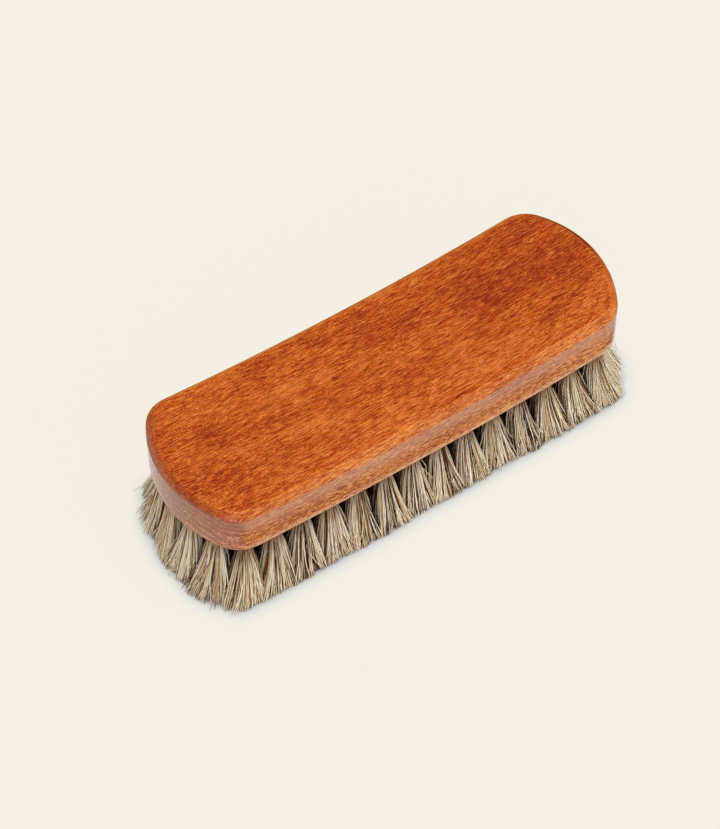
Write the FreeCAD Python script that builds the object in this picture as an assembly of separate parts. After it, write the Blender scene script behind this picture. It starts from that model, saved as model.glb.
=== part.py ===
"""Horsehair shoe shine brush, in millimetres.

A beech block with a dished back is drilled from below with blind holes. Each hole holds one tuft of
horsehair, folded over a wire staple that is driven into the wood above the hole.
X runs along the block, Y across it and Z up. The origin is under the middle, on the trimmed hair tips.
"""

import FreeCAD
import Part
import math
import os
from types import SimpleNamespace

V = FreeCAD.Vector

# Block of wood
block_length = 165.0
block_width = 55.0
block_thickness = 17.8  # at the middle of the length
end_radius = 40.5  # plan radius of the arched ends
corner_radius = 11.5  # plan radius where an end runs into a long side
back_dish = 4.3  # rise of the back from its middle to its ends
base_crown = 3.5  # rise of the filled face from its middle to its ends
bevel = 2.5  # bevel round the back, across and down
crest_radius = 0.7  # rounding from the back to the bevel
shoulder_radius = 1.2  # rounding from the bevel to the side
base_edge_radius = 1.5  # rounding from the side to the filled face

# Drilled holes
hole_diameter = 5.2
hole_depth = 9.5
edge_inset = 6.5  # from the block's edge to the outer ring of holes
ring_corner_radius = 5.0  # where the ring of holes turns from a side to an end
side_pitch = 10.4  # from hole to hole along the rows
end_pitch = 9.4  # from hole to hole round an end
row_pitch = 10.5  # from row to row
ring_gap = 8.0  # least way from the ring of holes at an end to the inner rows

# Tufts of hair
hair_reach = 26.2  # free length of the hair under the middle of the block
side_splay = 3.7  # how far the outer tufts lean outwards at the sides
end_splay = 2.0  # how far the outer tufts lean outwards at the ends
tuft_clearance = 0.1  # all round, between a tuft and its hole
tuft_gap = 0.3  # between the tips of two tufts
fold_bevel = 0.9  # at the fold, where the hair bends back on itself
straight_run = 0.8  # below the hole, before the hair fans out

# Wire staples
wire_diameter = 0.6
staple_width = 3.6  # between the middles of the two legs
staple_bend = 0.7  # radius at the middle of the wire
fold_height = 1.6  # from the top of the hole to the middle of the staple's bridge
leg_bite = 4.0  # how far the legs go into the wood above the hole
leg_clearance = 0.02  # all round, between a leg and the wood
channel_clearance = 0.1  # all round, between the wire and the hair

# Worked out from the sizes above
half_length = block_length / 2
hole_radius = hole_diameter / 2
tuft_radius = hole_radius - tuft_clearance
wire_radius = wire_diameter / 2
base_middle = hair_reach
back_middle = base_middle + block_thickness
spare = block_width  # how far a cutting shape stands past what it cuts


def bow_radius(rise):
    """Radius of the arc that rises by this much from the block's middle to its ends."""
    return (half_length**2 + rise**2) / (2 * rise)


def bow_height(rise, x):
    """Height of that arc at x, above its middle."""
    radius = bow_radius(rise)
    return radius - math.sqrt(radius**2 - x**2)


def outline(inset, corner):
    """Arc centres of the block's plan, moved inwards by inset, with corners of this radius."""
    end = end_radius - inset
    end_x = half_length - end_radius
    half_width = block_width / 2 - inset
    corner_y = half_width - corner
    turn = math.asin(corner_y / (end - corner))
    corner_x = end_x + (end - corner) * math.cos(turn)
    return SimpleNamespace(
        end=end,
        end_x=end_x,
        half_width=half_width,
        corner=corner,
        corner_x=corner_x,
        corner_y=corner_y,
        turn=turn,
    )


def polar(x, y, radius, angle):
    return V(x + radius * math.cos(angle), y + radius * math.sin(angle), 0)


def plan_arc(x, y, radius, start, stop):
    ends = [polar(x, y, radius, a) for a in (start, (start + stop) / 2, stop)]
    return Part.Arc(*ends).toShape()


def plan_face():
    """The block seen from above: two arched ends, four round corners and two straight sides."""
    o = outline(0, corner_radius)
    quarter = math.pi / 2
    edges = []
    for flip, start in ((1, 0), (-1, math.pi)):
        near = V(flip * o.corner_x, flip * o.half_width)
        far = V(-flip * o.corner_x, flip * o.half_width)
        corner_y = flip * o.corner_y
        stop = start + math.pi
        edges.append(plan_arc(flip * o.end_x, 0, o.end, start - o.turn, start + o.turn))
        edges.append(plan_arc(near.x, corner_y, o.corner, start + o.turn, start + quarter))
        edges.append(Part.LineSegment(near, far).toShape())
        edges.append(plan_arc(far.x, corner_y, o.corner, start + quarter, stop - o.turn))
    return Part.Face(Part.Wire(edges))


def bow_arc(middle, rise, reach):
    """Arc along the block, in the XZ plane, from -reach to reach."""
    points = [V(x, 0, middle + bow_height(rise, x)) for x in (-reach, 0, reach)]
    return Part.Arc(*points).toShape()


def side_face():
    """The block seen from the front, longer than the block: the back is dished and the base crowned."""
    reach = half_length + spare
    back = bow_arc(back_middle, back_dish, reach)
    base = bow_arc(base_middle, base_crown, reach)
    posts = [Part.LineSegment(base.Vertexes[i].Point, back.Vertexes[i].Point).toShape() for i in (0, 1)]
    return Part.Face(Part.Wire([base, posts[1], back, posts[0]]))


def broad_faces(shape):
    """The block's two broadest faces: the filled base, then the back."""
    broadest = sorted(shape.Faces, key=lambda face: face.Area)[-2:]
    return sorted(broadest, key=lambda face: face.CenterOfMass.z)


def base_face(shape):
    return broad_faces(shape)[0]


def back_face(shape):
    return broad_faces(shape)[1]


def shared_edges(faces, others):
    """Edges that lie between one group of faces and another."""
    far = [edge for face in others for edge in face.Edges]
    return [edge for face in faces for edge in face.Edges if any(edge.isSame(other) for other in far)]


def shoulder_edges(shape):
    """Edges where the bevel round the back meets the sides."""
    back = back_face(shape)
    base = base_face(shape)
    bevels = [f for f in shape.Faces if not f.isSame(back) and shared_edges([f], [back])]
    sides = [f for f in shape.Faces if shared_edges([f], [base]) and not f.isSame(base)]
    return shared_edges(bevels, sides)


def plain_block():
    """The shaped block before it is drilled."""
    plan = plan_face()
    plan.translate(V(0, 0, base_middle - spare))
    prism = plan.extrude(V(0, 0, block_thickness + back_dish + 2 * spare))
    profile = side_face()
    profile.translate(V(0, -block_width, 0))
    block = prism.common(profile.extrude(V(0, 2 * block_width, 0))).Solids[0]
    block = block.makeChamfer(bevel, back_face(block).Edges)
    block = block.makeFillet(shoulder_radius, shoulder_edges(block))
    block = block.makeFillet(crest_radius, back_face(block).Edges)
    return block.makeFillet(base_edge_radius, base_face(block).Edges)


def ring_length():
    """Length of a quarter of the ring of holes, from the middle of a side to the tip of an end."""
    o = outline(edge_inset, ring_corner_radius)
    return o.corner_x + o.corner * (math.pi / 2 - o.turn) + o.end * o.turn


def ring_point(way):
    """Point on the ring's front right quarter, this way along it from the middle of the front side."""
    o = outline(edge_inset, ring_corner_radius)
    bend = o.corner * (math.pi / 2 - o.turn)
    if way <= o.corner_x:
        return way, -o.half_width
    if way <= o.corner_x + bend:
        point = polar(o.corner_x, -o.corner_y, o.corner, (way - o.corner_x) / o.corner - math.pi / 2)
    else:
        point = polar(o.end_x, 0, o.end, (way - ring_length()) / o.end)
    return point.x, point.y


def staggered(limit, half_step):
    """Places along a row within the limit, on the pitch or half a pitch off it."""
    count = int(limit / side_pitch + (0.5 if half_step else 0))
    if half_step:
        right = [(i + 0.5) * side_pitch for i in range(count)]
        return [-x for x in reversed(right)] + right
    return [i * side_pitch for i in range(-count, count + 1)]


def hole_places():
    """Places of the holes on the filled face, by row: {row: [(x, y), ...]}."""
    o = outline(edge_inset, ring_corner_radius)
    side_ways = staggered(o.corner_x + o.corner * math.cos(o.turn), True)
    last = side_ways[-1]
    front = [(math.copysign(ring_point(abs(w))[0], w), ring_point(abs(w))[1]) for w in side_ways]
    end_room = 2 * (ring_length() - last)
    end_count = round(end_room / end_pitch) - 1
    right_end = []
    for i in range(1, end_count + 1):
        way = last + end_room * i / (end_count + 1)
        x, y = ring_point(min(way, 2 * ring_length() - way))
        right_end.append((x, y if way < ring_length() else -y))
    rows = {
        "front": front,
        "back": [(x, -y) for x, y in front],
        "left_end": [(-x, y) for x, y in right_end],
        "right_end": right_end,
    }
    spaces = round(2 * o.half_width / row_pitch)
    for i in range(1, spaces):
        y = 2 * o.half_width * i / spaces - o.half_width
        limit = o.end_x + math.sqrt((o.end - ring_gap) ** 2 - y**2)
        rows[f"inner_row_{i}"] = [(x, y) for x in staggered(limit, i % 2 == 0)]
    return rows


def tip_place(x, y):
    """Where the middle of a tuft's tip lies: the tufts fan out from the middle of the brush."""
    o = outline(edge_inset, ring_corner_radius)
    return x * (1 + end_splay / (o.end_x + o.end)), y * (1 + side_splay / o.half_width)


def sites(rows):
    """Each hole's mouth, its axis out of the wood and its tuft's tip, by row."""
    tips = [tip_place(x, y) for places in rows.values() for x, y in places]
    found = {}
    for row, places in rows.items():
        found[row] = []
        for x, y in places:
            mouth = V(x, y, base_middle + bow_height(base_crown, x))
            tip = V(*tip_place(x, y), 0)
            nearest = min(math.dist((tip.x, tip.y), other) for other in tips if other != (tip.x, tip.y))
            axis = (tip - mouth).normalize()
            tip_radius = (nearest - tuft_gap) / 2
            found[row].append(SimpleNamespace(mouth=mouth, tip=tip, axis=axis, tip_radius=tip_radius))
    return found


def seat(site):
    """Placement of a staple or its tools: the top of the hole, with local Z up into the wood."""
    turn = FreeCAD.Rotation(V(0, 0, -1), site.axis)
    return FreeCAD.Placement(site.mouth - site.axis * hole_depth, turn)


def hole_tool(site):
    """What the drill takes out, from past the filled face to the top of the hole."""
    below = hole_diameter
    start = site.mouth + site.axis * below
    return Part.makeCylinder(hole_radius, hole_depth + below, start, -site.axis)


def circle(centre, normal, radius):
    return Part.Wire(Part.Circle(centre, normal, radius).toShape())


def trim_tool():
    """All that lies under the level of the trimmed tips."""
    return Part.makeBox(
        2 * block_length, 2 * block_width, hair_reach, V(-block_length, -block_width, -hair_reach)
    )


def bent_wire(radius, leg_top):
    """A round wire of this radius, bent to a staple: a bridge, two bends and two legs."""
    half = staple_width / 2
    bridge_half = half - staple_bend
    bend_top = staple_bend - fold_height
    section = Part.Face(circle(V(bridge_half, 0, -fold_height), V(1, 0, 0), radius))
    bend = section.revolve(V(bridge_half, 0, bend_top), V(0, -1, 0), 90)
    leg = Part.makeCylinder(radius, leg_top - bend_top, V(half, 0, bend_top))
    other_side = [piece.mirror(V(0, 0, 0), V(1, 0, 0)) for piece in (bend, leg)]
    bridge = section.extrude(V(-2 * bridge_half, 0, 0))
    return bridge.fuse([bend, leg] + other_side).Solids[0]


def leg_tools(site):
    """The two narrow sockets that a staple's legs press into the wood."""
    tools = []
    below = hole_depth / 2
    for side in (-1, 1):
        start = V(side * staple_width / 2, 0, -below)
        tool = Part.makeCylinder(wire_radius + leg_clearance, below + leg_bite, start)
        tool.Placement = seat(site)
        tools.append(tool)
    return tools


def brush_block(all_sites):
    tools = []
    for site in all_sites:
        tools.append(hole_tool(site))
        tools += leg_tools(site)
    return plain_block().cut(tools).Solids[0]


def tuft(site, channel):
    """One tuft: bevelled at its fold, straight in its hole, then fanned out and trimmed level."""
    top = -tuft_clearance
    fan = -hole_depth - straight_run
    trim = -hole_depth - (site.tip - site.mouth).Length
    widening = (site.tip_radius - tuft_radius) / (fan - trim)
    past = trim - site.tip_radius
    corners = [
        (0, top),
        (tuft_radius - fold_bevel, top),
        (tuft_radius, top - fold_bevel),
        (tuft_radius, fan),
        (tuft_radius + widening * (fan - past), past),
        (0, past),
        (0, top),
    ]
    profile = Part.Face(Part.makePolygon([V(r, 0, z) for r, z in corners]))
    hair = profile.revolve(V(0, 0, 0), V(0, 0, 1), 360).cut(channel)
    hair.Placement = seat(site)
    return hair.cut(trim_tool()).Solids[0]


def staple_group(row_sites, staple):
    """The staples of one row, as separate solids."""
    copies = []
    for site in row_sites:
        copy = staple.copy()
        copy.Placement = seat(site)
        copies.append(copy)
    return Part.makeCompound(copies)


def save(node, shape):
    shape.exportStep(os.path.join("parts", f"{node}.step"))


def main():
    os.makedirs("parts", exist_ok=True)
    by_row = sites(hole_places())
    all_sites = [site for row_sites in by_row.values() for site in row_sites]
    staple = bent_wire(wire_radius, leg_bite)
    channel = bent_wire(wire_radius + channel_clearance, leg_bite)
    save("brush_block", brush_block(all_sites))
    for row, row_sites in by_row.items():
        tufts = [tuft(site, channel) for site in row_sites]
        if row.startswith("inner"):
            save(f"{row}_tufts", Part.makeCompound(tufts))
        else:
            for i, shape in enumerate(tufts):
                save(f"{row}_tuft_{i + 1:02d}", shape)
        save(f"{row}_staples", staple_group(row_sites, staple))
        print(row, len(row_sites), "tufts")


main()
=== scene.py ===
import math

import bmesh
import bpy
import numpy as np
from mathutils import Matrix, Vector


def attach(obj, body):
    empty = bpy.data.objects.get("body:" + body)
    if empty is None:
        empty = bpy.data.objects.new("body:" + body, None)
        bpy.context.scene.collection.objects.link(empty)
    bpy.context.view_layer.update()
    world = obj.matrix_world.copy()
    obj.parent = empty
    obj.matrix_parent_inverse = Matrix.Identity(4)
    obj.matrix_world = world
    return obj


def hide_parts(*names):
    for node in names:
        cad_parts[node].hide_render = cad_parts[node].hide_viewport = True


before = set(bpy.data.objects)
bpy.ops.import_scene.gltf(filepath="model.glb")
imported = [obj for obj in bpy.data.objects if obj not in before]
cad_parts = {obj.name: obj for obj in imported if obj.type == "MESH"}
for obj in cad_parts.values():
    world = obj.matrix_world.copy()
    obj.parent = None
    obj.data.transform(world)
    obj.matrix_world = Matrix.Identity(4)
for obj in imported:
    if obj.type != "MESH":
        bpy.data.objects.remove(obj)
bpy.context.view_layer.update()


# Block: one piece of beech, flat-sawn with the grain along it, shaped, sanded, stained reddish brown
# and lacquered. The ends drink more stain than the back and the sides.

MM = 0.001


class Flow:
    """A value, colour or vector that runs through a material's nodes."""

    def __init__(self, tree, socket=None):
        self.tree = tree
        self.socket = socket

    def node(self, kind, inputs=(), output=0, stops=(), **settings):
        """Adds a node with its settings and ramp stops, feeds its inputs and gives one output."""
        made = self.tree.nodes.new(kind)
        for name, value in settings.items():
            setattr(made, name, value)
        for i, (place, colour) in enumerate(stops):
            ramp = made.color_ramp.elements
            stop = ramp[i] if i < len(ramp) else ramp.new(place)
            stop.position = place
            stop.color = (*colour, 1)
        for key, value in dict(inputs).items():
            if isinstance(value, Flow):
                value.into(made.inputs[key])
            else:
                made.inputs[key].default_value = value
        return Flow(self.tree, made.outputs[output])

    def into(self, socket):
        """Links this to a socket of another node."""
        self.tree.links.new(self.socket, socket)

    def split(self):
        """The X, Y and Z of this vector."""
        outputs = self.node("ShaderNodeSeparateXYZ", {"Vector": self}).socket.node.outputs
        return [Flow(self.tree, output) for output in outputs]

    def maths(self, operation, *values):
        return self.node("ShaderNodeMath", enumerate(values), operation=operation)

    def __add__(self, other):
        return self.maths("ADD", self, other)

    def __sub__(self, other):
        return self.maths("SUBTRACT", self, other)

    def __rsub__(self, other):
        return self.maths("SUBTRACT", other, self)

    def __mul__(self, other):
        return self.maths("MULTIPLY", self, other)

    def __truediv__(self, other):
        return self.maths("DIVIDE", self, other)

    def __pow__(self, other):
        return self.maths("POWER", self, other)

    __radd__ = __add__
    __rmul__ = __mul__

    def most(self, other):
        return self.maths("MAXIMUM", self, other)

    def ramp(self, *stops):
        return self.node("ShaderNodeValToRGB", {"Fac": self}, stops=stops)

    def step(self, low, high):
        """0 below low, 1 above high and a smooth rise between them."""
        ends = {"Value": self, "From Min": low, "From Max": high}
        return self.node("ShaderNodeMapRange", ends, interpolation_type="SMOOTHSTEP")

    def mixed(self, other, share, blend="MIX"):
        """This colour with a share of another over it."""
        colours = {"Factor": share, 6: self, 7: other}
        return self.node("ShaderNodeMix", colours, output=2, data_type="RGBA", blend_type=blend)

    def noise(self, size_mm, detail=2.0, roughness=0.5, shift=0.0):
        """Noise over this position, with grains of this size along X, Y and Z, about even round 0.5."""
        scale = [1 / (size * MM) for size in size_mm]
        place = self.node("ShaderNodeMapping", {"Vector": self, "Scale": scale, "Location": (shift,) * 3})
        look = {"Vector": place, "Scale": 1.0, "Detail": detail, "Roughness": roughness}
        return self.node("ShaderNodeTexNoise", look)


def new_material(name, **surface):
    """A material with a Principled shader, whose unchanging sockets are set here."""
    material = bpy.data.materials.new(name)
    material.use_nodes = True
    shader = material.node_tree.nodes["Principled BSDF"]
    for socket, value in surface.items():
        shader.inputs[socket.replace("_", " ")].default_value = value
    return material, shader, Flow(material.node_tree)


def lacquered_beech():
    material, shader, start = new_material(
        "lacquered_beech", IOR=1.46, Specular_IOR_Level=0.0, Coat_Roughness=0.13, Coat_IOR=1.92
    )
    place = start.node("ShaderNodeTexCoord", output="Object")
    x, y, z = place.split()

    # The way that the wood faces tells the back, the bevel round it, the crest between them and the ends.
    rightward, farward, upward = start.node("ShaderNodeNewGeometry", output="Normal").split()
    endwise, upright = rightward**2, upward**2
    on_end = endwise.step(0.04, 0.32)
    on_back = upright.step(0.2, 0.9)
    on_bevel = upright.step(0.2, 0.4) * (1 - upright.step(0.6, 0.85))
    on_crest = upright.step(0.55, 0.7) * (1 - upright.step(0.94, 0.99))
    on_far_bevel = on_bevel * farward.step(0.25, 0.6)
    on_right_bevel = on_bevel * rightward.step(0.1, 0.4)
    in_far_half = farward.step(-0.2, 0.15)
    on_end_grain = on_end * (1 - on_bevel.most(on_crest))

    # Growth rings lie round a pith far below the block, so they show as wide bands on the back,
    # as lines along the sides and as low arches on the ends.
    pith_y, pith_z, ring_width, ring_wander = 9 * MM, -70 * MM, 2.9 * MM, 7 * MM
    wander = place.noise((70, 12, 12), 3, 0.6) - 0.5
    from_pith = ((y - pith_y) ** 2 + (z - pith_z) ** 2) ** 0.5 + wander * ring_wander
    rings = from_pith / ring_width
    ring = rings.maths("FRACT", rings)
    strength = place.noise((60, 9, 7), 1, 0.5, 2.2).step(0.32, 0.56)
    late_wood = ring.step(0.45, 0.88) * (1 - ring.step(0.92, 1.0)) * strength

    # Rays, veins and pores lie along the grain, which sways a little: thin dark and pale dashes on the back
    # and the sides, flecks low on the sides, and dots on the ends, where they crowd in the far half.
    grain_sway = 1.2 * MM
    sway = (place.noise((45, 20, 20), 1) - 0.5) * grain_sway
    bent = start.node("ShaderNodeCombineXYZ", {0: x, 1: y + sway, 2: z})
    rays = bent.noise((5.0, 0.17, 0.50), 0).step(0.48, 0.60)
    fine_rays = bent.noise((2.6, 0.13, 0.36), 0, 0.5, 5.8).step(0.48, 0.58)
    pale_rays = bent.noise((3.6, 0.15, 0.45), 0, 0.5, 9.4).step(0.50, 0.62)
    speckle = bent.noise((0.50, 0.22, 0.30), 0, 0.5, 2.6).step(0.40, 0.60)
    flecks = bent.noise((1.7, 0.8, 0.5), 1, 0.6, 8.3)
    streak = bent.noise((12, 0.55, 0.9), 1, 0.5, 4.4) - 0.5
    veins = 1 - streak.maths("ABSOLUTE", streak).step(0.01, 0.07)
    veins = veins * bent.noise((4.0, 1.3, 1.3), 1, 0.5, 6.6).step(0.40, 0.54)
    pores = bent.noise((0.8, 0.24, 0.24), 1, 0.5, 3.1).step(0.50, 0.66)
    fibre = bent.noise((8, 0.26, 0.26), 2, 0.6, 7.7)
    drift = bent.noise((40, 6, 6), 2, 0.5, 1.3)
    blotch = place.noise((15, 9, 9), 2, 0.5, 5.2)
    crowd = 0.45 + y.step(0, 14 * MM) * 0.9

    # How deep a point lies below the dished back: the sides grow more flecked and a little paler low down,
    # and their rounded lower edge is painted paler still, as painted light.
    back_height, back_bow = 44.0 * MM, 1 / 1.587
    depth = back_height + x**2 * back_bow - z
    low = depth.step(6 * MM, 11 * MM)
    contrast = on_back + (1 - on_back) * 0.65
    grain = (
        0.13
        + (fibre - 0.5) * 0.8
        + (speckle - 0.5) * 0.34
        - rays * 0.24
        - fine_rays * (0.20 + on_back * 0.14)
        - veins * 0.38
        + pale_rays * 0.34
        - pores * 0.14
    )
    tone = (
        0.42
        + on_back * 0.20
        + (1 - on_back) * ((flecks - 0.5) * (1.0 + low * 1.7) + low * 0.04)
        # Painted light: the rounded lower edge of the sides is painted paler.
        + depth.step(14.0 * MM, 17.0 * MM) * 0.4
        # Bevels a little paler, partly with wear and partly as painted sheen where their lacquer is thin; on
        # the ends darker with stain.
        + on_bevel * (0.05 - on_end * 0.08)
        # Crest paler as a painted highlight; on the ends darker with stain.
        + on_crest * (0.12 - on_end * 0.14)
        # Far bevel paler as painted light.
        + on_far_bevel * 0.24
        # Right bevel paler in its near half as painted light, and darker in its far half.
        + on_right_bevel * (0.20 - in_far_half * 0.4)
        + (drift - 0.5) * 0.45
        + (blotch - 0.5) * 0.30
        + grain * contrast
        - pores * on_end_grain * crowd
        - late_wood * (0.12 + on_end_grain * 2.4)
    )

    # The stain sits darker in two patches, on the right and just past the middle, and towards the left end.
    # It sits paler in a far patch on the left and along the near edge. A patch has its middle and its reach,
    # both in mm, and its change of tone.
    patches = ((57, 5, 28, 20, -0.22), (9, 14, 22, 8, -0.16), (-50, 17, 28, 12, 0.05))
    for middle_x, middle_y, reach_x, reach_y, change in patches:
        aside_x, aside_y = (x - middle_x * MM) / (reach_x * MM), (y - middle_y * MM) / (reach_y * MM)
        tone = tone + (1 - (aside_x**2 + aside_y**2).step(0.1, 1.6)) * change
    near_edge, left_part = 1 - y.step(-26 * MM, -8 * MM), 1 - x.step(-75 * MM, -20 * MM)
    tone = tone + near_edge * 0.07 - left_part * 0.08

    # One small dark fleck lies aslant in the near side.
    fleck_x, fleck_z, fleck_slant, fleck_long, fleck_high = -35 * MM, 35.9 * MM, 1.2, 1.6 * MM, 1.2 * MM
    above = z - fleck_z
    fleck = ((x - fleck_x + above * fleck_slant) / fleck_long) ** 2 + (above / fleck_high) ** 2
    on_near_side = 1 - y.step(-27 * MM, -26 * MM)
    tone = tone - (1 - fleck.step(0.4, 1.5)) * on_near_side * 0.6
    colour = tone.ramp(
        (0.05, (0.23, 0.020, 0.006)),
        (0.28, (0.39, 0.045, 0.008)),
        (0.48, (0.55, 0.082, 0.010)),
        (0.70, (0.70, 0.156, 0.017)),
        (0.95, (0.84, 0.290, 0.055)),
    )
    side_colour = tone.ramp(
        (0.10, (0.27, 0.040, 0.005)),
        (0.40, (0.44, 0.110, 0.018)),
        (0.65, (0.58, 0.185, 0.040)),
        (0.95, (0.74, 0.320, 0.100)),
    )
    colour = side_colour.mixed(colour, on_back)
    dark_end = colour.mixed((0.90, 0.79, 0.76, 1), 1.0, "MULTIPLY")
    colour = colour.mixed(dark_end, on_end)
    colour.into(shader.inputs["Base Color"])
    gloss = 0.42 + (blotch - 0.5) * 0.2
    gloss.into(shader.inputs["Roughness"])

    # The lacquer thins out down the long sides and gathers again along their lower edge. It is rubbed down to
    # satin on the back, and thin on the crest and the bevels, most of all on those away from the front. It
    # is uneven over the flecks of the sides and sinks into the pores of the ends.
    thinned = 1 - depth.step(5.0 * MM, 11.5 * MM) * 0.72
    gathered = depth.step(13.0 * MM, 16.2 * MM)
    lacquer = thinned.most(gathered).most(on_end)
    bare = on_bevel * (1 - on_end * depth.step(0.4 * MM, 2.0 * MM))
    lacquer = lacquer * (1 - bare * 0.7) * (1 - on_crest * (0.85 - on_end * 0.6)) * (1 - on_back * 0.7)
    lacquer = lacquer * (1 - on_far_bevel.most(on_right_bevel))
    lacquer = lacquer * (1 + (1 - on_back) * (flecks - 0.5) * 1.2 - pores * on_end_grain * 0.4)
    lacquer.into(shader.inputs["Coat Weight"])
    height = fibre * 0.5 - rays * 0.5 - pores * 0.5
    bump = start.node("ShaderNodeBump", {"Height": height, "Strength": 0.2, "Distance": 0.1 * MM})
    bump.into(shader.inputs["Normal"])
    return material


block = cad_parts["brush_block"]
block.data.materials.clear()
block.data.materials.append(lacquered_beech())


# Hair: each tuft is a bundle of horsehair folded in half over a wire staple at the top of its hole. It
# leaves the wood as a tight round bundle, fans out, and is trimmed level; the hairs cling in small locks.

# Heights that tell a tuft's trimmed tips and its mouth at the wood from the rest of its CAD cone.
tip_height = 0.1 * MM
mouth_heights = (20 * MM, 32 * MM)


def tuft_fans(node):
    """Where each tuft of a CAD node leaves the wood, where it is trimmed and how wide it is there, from left
    to right: [(mouth, tip, tip_radius), ...]."""
    solids = bmesh.new()
    solids.from_mesh(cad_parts[node].data)
    bmesh.ops.remove_doubles(solids, verts=solids.verts, dist=0.001 * MM)
    waiting = set(solids.verts)
    fans = []
    while waiting:
        found = [waiting.pop()]
        for vert in found:
            near = {edge.other_vert(vert) for edge in vert.link_edges} & waiting
            waiting -= near
            found += near
        points = np.array([vert.co for vert in found])
        height = points[:, 2]
        tip = points[height < tip_height]
        mouth = points[(height > mouth_heights[0]) & (height < mouth_heights[1])]
        middles = ((ring.min(0) + ring.max(0)) / 2 for ring in (mouth, tip))
        fans.append((*middles, np.ptp(tip[:, 0]) / 2))
    solids.free()
    return sorted(fans, key=lambda fan: fan[0][0])


# A hair's first point is up in its hole, and the others lie at these places from the wood to the tip.
hair_places = (0, 0.33, 0.67, 0.93, 1)
hair_taper = np.array((0.9, 1.0, 1.0, 0.95, 0.75, 0.55))
hair_points = len(hair_taper)
hair_sides = 4
hair_radii_mm = (0.09, 0.18)
root_depth = 2.5 * MM
bundle_radius = 2.45 * MM
least_lean = 0.2 * MM
flare_power = 1.5
outward_crowding = 1.4
row_half = 70 * MM
brush_half = (84.0 * MM, 30.6 * MM)
brush_squareness = 7
hairs_in_lock = 7
lock_pull = 0.45
crossing_share, stray_share, short_share, lock_toned_share = 0.07, 0.02, 0.07, 0.2
tuft_sway, hair_sway, lock_sway, stray_sway = 0.3 * MM, 0.6 * MM, 0.5 * MM, 2.2 * MM
lock_ragged, hair_ragged, stray_slack = 0.016, 0.008, 0.975
lock_lift, hair_lift, short_by_mm = 0.5 * MM, 0.4 * MM, (0.5, 4.0)


def comb(fan, count, fullness, looseness, dice, across=None, fringe=0):
    """The hairs of one tuft, root to tip, as an array of hairs by points by 3, how pale each is, and how
    far each lies out of the shade behind its tuft. Fullness is how wide the tips spread against the CAD cone,
    along the row and outwards. Looseness is how much further out they lean, in mm and as a share of the
    tuft's Y. Across is the way that a straight row leans. With a fringe, outer hairs reach to the trim."""
    mouth, tip, tip_radius = fan
    along = mouth[0] / row_half
    axis = (tip - mouth) / np.linalg.norm(tip - mouth)
    lean = (tip - mouth)[:2]
    lean = lean / np.linalg.norm(lean) if np.linalg.norm(lean) > least_lean else np.array((0.0, 1.0))
    if across is not None:
        lean = across * math.copysign(1, lean @ across)
    ways = np.array(((-lean[1], lean[0], 0), (lean[0], lean[1], 0)))
    loose = dice.normal(looseness[0] * MM + looseness[1] * mouth[1], tuft_sway)
    tip = tip + ways[1] * loose + ways[0] * dice.normal(0, tuft_sway)
    tip[0] *= 1.015 + 0.03 * abs(along) ** 3
    square = dice.uniform(-1, 1, (count, 2))
    square[:, 1] = 1 - 2 * (0.5 - square[:, 1] / 2) ** outward_crowding
    disc = square * np.abs(square).max(1, keepdims=True) / np.linalg.norm(square, axis=1, keepdims=True)

    # Most hairs keep their place from root to tip; a few cross over, and all are drawn to their lock.
    root = mouth + bundle_radius * disc @ ways
    spread = square * (tip_radius * np.array(fullness))
    if across is not None:
        spread[:, 0] *= 1 + 0.3 * along**4
    crossing = np.flatnonzero(dice.random(count) < crossing_share)
    spread[crossing] = spread[dice.permutation(crossing)]
    spread += dice.normal(0, hair_sway, (count, 2))
    locks = dice.integers(0, count, max(count // hairs_in_lock, 1))
    lock = np.argmin(((disc[:, None] - disc[locks][None]) ** 2).sum(2), 1)
    gathered = spread[locks] + dice.normal(0, lock_sway, (len(locks), 2))
    spread += (gathered[lock] - spread) * dice.uniform(0.0, lock_pull, (count, 1))
    stray = dice.random(count) < stray_share
    spread[stray] += dice.normal(0, stray_sway, (stray.sum(), 2)) * (1.3, 0.5)
    ends = tip + spread @ ways

    # The trim: the tips stay within the brush's outline, ragged from lock to lock, and some hairs are short.
    ragged = dice.normal(0, lock_ragged, len(locks))[lock] + dice.normal(0, hair_ragged, count)
    reach = (np.abs(ends[:, :2] / brush_half) ** brush_squareness).sum(1)
    edge = reach ** (1 / brush_squareness) + ragged
    edge[stray] *= stray_slack
    least = np.where(square[:, 1] > 0.2, dice.uniform(0.90, 0.98, count), 0) * fringe
    ends[:, :2] *= (np.clip(edge, least, 1) / edge)[:, None]
    lifted = np.abs(dice.normal(0, lock_lift, len(locks)))
    ends[:, 2] += lifted[lock] + np.abs(dice.normal(0, hair_lift, count))
    short = dice.random(count) < short_share
    ends[short, 2] += dice.uniform(*short_by_mm, short.sum()) * MM

    bow = dice.normal(0, hair_sway, (count, 3)) * (1, 1, 0)
    bow[stray] *= 2.0
    hairs = [root - axis * root_depth]
    for place in hair_places:
        flare = (place**flare_power, place**flare_power, place)
        hairs.append(root + (ends - root) * flare + bow * math.sin(math.pi * place))
    lock_tone = dice.random(len(locks))
    tone = np.where(dice.random(count) < lock_toned_share, lock_tone[lock], dice.random(count))
    # Each tuft shifts a little in tone at random, and hairs are painted paler towards both ends of the row,
    # as painted light.
    tone = np.clip(tone + dice.normal(0, 0.04) + 0.17 * along**2 + 0.04 * along, 0, 1)
    tone[stray] = dice.uniform(0.5, 0.9, stray.sum())
    open_air = np.clip((square[:, 1] + 1) / 1.1, 0.25, 1)
    return np.stack(hairs, 1), tone, open_air


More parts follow.
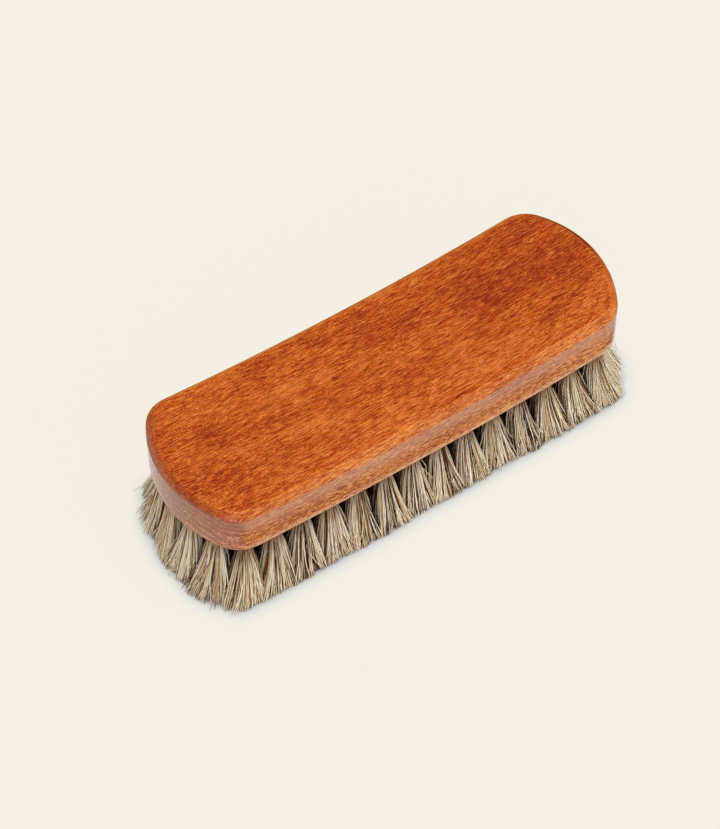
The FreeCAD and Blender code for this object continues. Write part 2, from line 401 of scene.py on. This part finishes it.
def map_hairs(mesh, count):
    """Gives every hair its own cell of the map that its colours are baked to."""
    corner = np.zeros(len(mesh.loops), np.int32)
    mesh.loops.foreach_get("vertex_index", corner)
    hair, place = np.divmod(corner.reshape(-1, 4), hair_points * hair_sides)
    ring, side = np.divmod(place, hair_sides)
    flat = np.ptp(ring, axis=1) == 0
    wide = side / (hair_sides - 1)
    long = ring / (hair_points - 1)
    wide[flat] = (0, 1, 1, 0)
    long[flat] += np.array((0, 0, 1, 1)) * 0.1
    cells = math.ceil(math.sqrt(count))
    u = (hair % cells + 0.1 + 0.8 * wide) / cells
    v = (hair // cells + 0.05 + 0.8 * long) / cells
    for old in list(mesh.uv_layers):
        mesh.uv_layers.remove(old)
    mesh.uv_layers.new(name="OFBake").data.foreach_set("uv", np.stack([u, v], 2).ravel())


def grow(name, nodes, per_tuft, fullness, looseness, light, seed, across=None, fringe=0, pale=0):
    """One mesh of hair for a row of tufts, in place of their CAD nodes."""
    dice = np.random.default_rng(seed)
    fans = [fan for node in nodes for fan in tuft_fans(node)]
    tufts = [comb(fan, per_tuft, fullness, looseness, dice, across, fringe) for fan in fans]
    hairs, tones, open_air = (np.concatenate(parts) for parts in zip(*tufts))
    tones = np.clip(tones + pale, 0, 1)
    count = len(hairs)
    thickness = dice.uniform(*hair_radii_mm, count) * MM
    curve = bpy.data.curves.new(name, "CURVE")
    curve.dimensions = "3D"
    curve.bevel_depth = 1.0
    curve.bevel_resolution = 0
    for hair, radius in zip(hairs, thickness):
        spline = curve.splines.new("POLY")
        spline.points.add(hair_points - 1)
        spline.points.foreach_set("co", np.c_[hair, np.ones(hair_points)].ravel())
        spline.points.foreach_set("radius", radius * hair_taper)
    holder = bpy.data.objects.new(name, curve)
    mesh = bpy.data.meshes.new_from_object(holder)
    mesh.name = name
    bpy.data.objects.remove(holder)
    bpy.data.curves.remove(curve)
    closed = bmesh.new()
    closed.from_mesh(mesh)
    bmesh.ops.holes_fill(closed, edges=closed.edges, sides=hair_sides)
    bmesh.ops.recalc_face_normals(closed, faces=closed.faces)
    for face in closed.faces:
        face.smooth = True
    closed.to_mesh(mesh)
    closed.free()

    tones = np.repeat(tones, hair_points * hair_sides)
    mesh.attributes.new("hair_tone", "FLOAT", "POINT").data.foreach_set("value", tones)
    light = np.repeat(open_air[:, None] * np.array(light), hair_sides)
    mesh.attributes.new("hair_light", "FLOAT", "POINT").data.foreach_set("value", light)
    map_hairs(mesh, count)

    mesh.materials.clear()
    mesh.materials.append(hair_finish)
    piece = bpy.data.objects.new(name, mesh)
    bpy.context.scene.collection.objects.link(piece)
    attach(piece, "root")
    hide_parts(*nodes)


def horsehair():
    material, shader, start = new_material("horsehair", Roughness=0.5, Specular_IOR_Level=0.06)
    tone = start.node("ShaderNodeAttribute", output="Fac", attribute_name="hair_tone")
    light = start.node("ShaderNodeAttribute", output="Fac", attribute_name="hair_light")
    colour = tone.ramp(
        (0.00, (0.020, 0.009, 0.005)),
        (0.20, (0.050, 0.022, 0.012)),
        (0.27, (0.22, 0.085, 0.030)),
        (0.36, (0.40, 0.19, 0.080)),
        (0.44, (0.60, 0.40, 0.23)),
        (0.52, (0.82, 0.65, 0.42)),
        (0.74, (0.94, 0.83, 0.64)),
        (1.00, (1.00, 0.95, 0.83)),
    )
    # Painted shade: each hair's colour is darkened where little light reaches its points.
    shade = light.ramp((0.0, (0.10, 0.035, 0.022)), (0.5, (0.40, 0.31, 0.25)), (1.0, (1, 1, 1)))
    colour = colour.mixed(shade, 1.0, "MULTIPLY")
    colour.into(shader.inputs["Base Color"])
    return material


hair_finish = horsehair()
rows = {
    "front_left": [f"front_tuft_{i:02d}" for i in range(1, 8)],
    "front_right": [f"front_tuft_{i:02d}" for i in range(8, 15)],
    "back_left": [f"back_tuft_{i:02d}" for i in range(1, 8)],
    "back_right": [f"back_tuft_{i:02d}" for i in range(8, 15)],
    "left_end": [f"left_end_tuft_{i:02d}" for i in range(1, 5)],
    "right_end": [f"right_end_tuft_{i:02d}" for i in range(1, 5)],
    "inner_row_1": ["inner_row_1_tufts"],
    "inner_row_2": ["inner_row_2_tufts"],
    "inner_row_3": ["inner_row_3_tufts"],
}
# The tufts of the inner rows stand in the shade of the others and need fewer hairs. Light is how much of it
# reaches each point of a hair; it is painted into the hair's colour as shade, dark at the roots, on the inner
# side of each tuft and all along the inner rows.
inner_hairs, outer_hairs = 280, 520
inner_light = (0, 0, 0, 0.02, 0.12, 0.9)
end_light = (0.15, 0.6, 1, 1, 1, 1)
side_light = (0.08, 0.4, 0.9, 1, 1, 1)
outer_pale = 0.03
sideways = np.array((0.0, 1.0))
for seed, (row, nodes) in enumerate(rows.items(), 1):
    name = f"{row}_hair"
    if row.startswith("inner"):
        grow(name, nodes, inner_hairs, (1.15, 1.15), (0, 0), inner_light, seed)
    elif row.endswith("end"):
        looseness = (-0.4, -0.1) if row == "left_end" else (1.0, 0)
        grow(name, nodes, outer_hairs, (1.60, 0.75), looseness, end_light, seed, fringe=1, pale=outer_pale)
    else:
        grow(name, nodes, outer_hairs, (1.10, 1.05), (0.2, 0), side_light, seed, sideways, pale=outer_pale)


# Staples: short lengths of drawn steel wire, bent to a U and driven through the fold of each tuft into
# the wood above its hole, where they stay hidden.


def drawn_wire():
    material, shader, start = new_material("drawn_wire", Metallic=1.0)
    place = start.node("ShaderNodeTexCoord", output="Object")
    marks = place.noise((0.2, 0.2, 2.0), 2)
    colour = marks.ramp((0.3, (0.42, 0.42, 0.41)), (0.7, (0.62, 0.61, 0.59)))
    colour.into(shader.inputs["Base Color"])
    gloss = 0.3 + marks * 0.15
    gloss.into(shader.inputs["Roughness"])
    return material


wire_finish = drawn_wire()
for row in ("front", "back", "left_end", "right_end", "inner_row_1", "inner_row_2", "inner_row_3"):
    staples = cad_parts[f"{row}_staples"]
    staples.data.materials.clear()
    staples.data.materials.append(wire_finish)


# Studio: a wide cream floor that the hair tips stand on, a soft light nearly overhead, and pale walls low
# down that the lacquer on the sides reflects.

floor_radius = 6.0
floor_mesh = bmesh.new()
bmesh.ops.create_circle(floor_mesh, cap_ends=True, segments=96, radius=floor_radius)
floor_data = bpy.data.meshes.new("floor")
floor_mesh.to_mesh(floor_data)
floor_mesh.free()
floor = bpy.data.objects.new("floor", floor_data)
bpy.context.scene.collection.objects.link(floor)
floor_material, floor_shader, floor_flow = new_material(
    "cream_paper", Base_Color=(0.93, 0.88, 0.77, 1), Roughness=0.9, Specular_IOR_Level=0.0
)
seen = floor_flow.node("ShaderNodeLightPath", output="Is Camera Ray")
for kind in ("Is Glossy Ray", "Is Transmission Ray"):
    seen = seen.most(floor_flow.node("ShaderNodeLightPath", output=kind))

# The floor is even and pale, with a thin grey shade along the hair tips and a deep brown one under the brush.
edge_reach, under_reach, paper_glow = 6.5 * MM, 40 * MM, 0.93
near = floor_flow.node("ShaderNodeAmbientOcclusion", {"Distance": edge_reach}, output="AO")
shade = near.ramp(
    (0.10, (0.06, 0.05, 0.045)),
    (0.30, (0.25, 0.25, 0.25)),
    (0.45, (0.43, 0.44, 0.44)),
    (0.80, (0.78, 0.78, 0.755)),
    (1.00, (0.922, 0.871, 0.760)),
)
under = floor_flow.node("ShaderNodeAmbientOcclusion", {"Distance": under_reach}, output="AO")
shade = shade.mixed(under.ramp((0.20, (0.14, 0.08, 0.06)), (0.42, (1, 1, 1))), 1.0, "MULTIPLY")
bright = floor_flow.node("ShaderNodeEmission", {"Color": shade})
matt = Flow(floor_flow.tree, floor_shader.outputs[0])
paper = floor_flow.node("ShaderNodeMixShader", {0: seen * paper_glow, 1: matt, 2: bright})
paper.into(floor_flow.tree.nodes["Material Output"].inputs["Surface"])
floor_data.materials.append(floor_material)

world = bpy.data.worlds.new("studio_air")
world.use_nodes = True
bpy.context.scene.world = world
air = Flow(world.node_tree)
towards = air.node("ShaderNodeTexCoord", output="Generated")
upward = towards.split()[2]
walls = upward.ramp((0.0, (0.92, 0.87, 0.76)), (0.25, (0.76, 0.74, 0.69)), (0.60, (0.13, 0.13, 0.14)))
bright_wall = {0: towards, 1: (-0.20, -0.84, 0.50)}
front = air.node("ShaderNodeVectorMath", bright_wall, output="Value", operation="DOT_PRODUCT")
walls = walls.mixed((1.05, 1.03, 1.0, 1), front.step(0.55, 0.95))
walls.into(world.node_tree.nodes["Background"].inputs["Color"])

key_from = Vector((0.08, -0.18, 0.98))
key_lamp = bpy.data.lights.new("key_light", "SUN")
key_lamp.energy = 1.8
key_lamp.angle = math.radians(38)
key = bpy.data.objects.new("key_light", key_lamp)
key.rotation_euler = key_from.to_track_quat("Z", "Y").to_euler()
bpy.context.scene.collection.objects.link(key)


# Camera: above and to the front left of the brush, as in the photograph. The aim is the point of the part
# that lies in the middle of the picture.

picture_height = 829
focal_pixels = 2814.8
shift_pixels = (-25.43, -37.39)
sensor_width = 36.0
camera_turn = math.radians(-33.977)
camera_rise = math.radians(53.322)
camera_distance = 0.9045
aim = Vector((0, 0, 36.79 * MM))
to_camera = Vector(
    (
        math.sin(camera_turn) * math.cos(camera_rise),
        -math.cos(camera_turn) * math.cos(camera_rise),
        math.sin(camera_rise),
    )
)
lens = bpy.data.cameras.new("photo_camera")
lens.sensor_width = sensor_width
lens.lens = focal_pixels * sensor_width / picture_height
lens.shift_x = shift_pixels[0] / picture_height
lens.shift_y = shift_pixels[1] / picture_height
lens.clip_start = 0.01
camera = bpy.data.objects.new("photo_camera", lens)
camera.location = aim + to_camera * camera_distance
camera.rotation_euler = to_camera.to_track_quat("Z", "Y").to_euler()
bpy.context.scene.collection.objects.link(camera)
bpy.context.scene.camera = camera
bpy.context.scene.view_settings.view_transform = "Standard"
